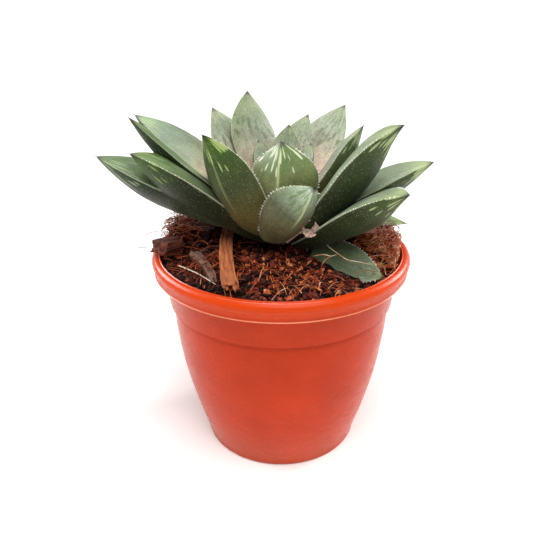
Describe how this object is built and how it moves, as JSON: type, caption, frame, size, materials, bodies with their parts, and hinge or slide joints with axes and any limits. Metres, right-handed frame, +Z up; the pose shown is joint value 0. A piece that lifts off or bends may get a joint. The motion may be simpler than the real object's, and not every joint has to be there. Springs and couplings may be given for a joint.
{
  "type": "potted haworthia",
  "caption": "Rosette of thick pointed succulent leaves on a short rooted stem, planted in mounded coir and husk in a thin plastic nursery pot.",
  "frame": {"origin": "centre of the pot's flat base", "axes": "+Z up along the pot's axis, -Y towards the pot's front, +X to the right seen from the front"},
  "size_m": [0.1234, 0.1037, 0.138],
  "materials": {
    "pot_plastic": "injection-moulded polypropylene in terracotta orange, satin, with fine scuffs and a thin mould parting line",
    "coir_mix": "loose damp coir, fine husk crumbs and fibres, matt reddish brown",
    "husk": "split coconut husk and bark, rough fibrous grain, matt",
    "root_skin": "pale fleshy root skin, matt",
    "leaf_skin": "waxy succulent epidermis, grey-green above and dark green below, pale windows near the tip, satin",
    "dried_leaf": "papery dried leaf and stalk tissue, matt"
  },
  "bodies": {
    "root": {"pot": "pot_plastic", "growing_medium": "coir_mix", "stem_with_roots": "root_skin", "leaf_01": "leaf_skin", "leaf_02": "leaf_skin", "leaf_03": "leaf_skin", "leaf_04": "leaf_skin", "leaf_05": "leaf_skin", "leaf_06": "leaf_skin", "leaf_07": "leaf_skin", "leaf_08": "leaf_skin", "leaf_09": "leaf_skin", "leaf_10": "leaf_skin", "leaf_11": "leaf_skin", "leaf_12": "leaf_skin", "leaf_13": "leaf_skin", "leaf_14": "leaf_skin", "leaf_15": "leaf_skin", "leaf_16": "leaf_skin", "leaf_17": "leaf_skin", "leaf_18": "leaf_skin", "leaf_19": "leaf_skin", "leaf_20": "leaf_skin", "leaf_21": "leaf_skin", "leaf_22": "leaf_skin", "leaf_23": "leaf_skin", "leaf_24": "leaf_skin", "leaf_25": "leaf_skin", "leaf_26": "leaf_skin", "leaf_27": "leaf_skin", "leaf_28": "leaf_skin", "leaf_29": "leaf_skin", "leaf_30": "leaf_skin", "leaf_31": "leaf_skin", "fallen_leaf": "leaf_skin", "dried_stub": "dried_leaf", "husk_splinter_front": "husk", "husk_splinter_left": "husk", "husk_chunk_left": "husk", "husk_chunk_back_left": "husk", "husk_chunk_right": "husk"}
  },
  "joints": []
}
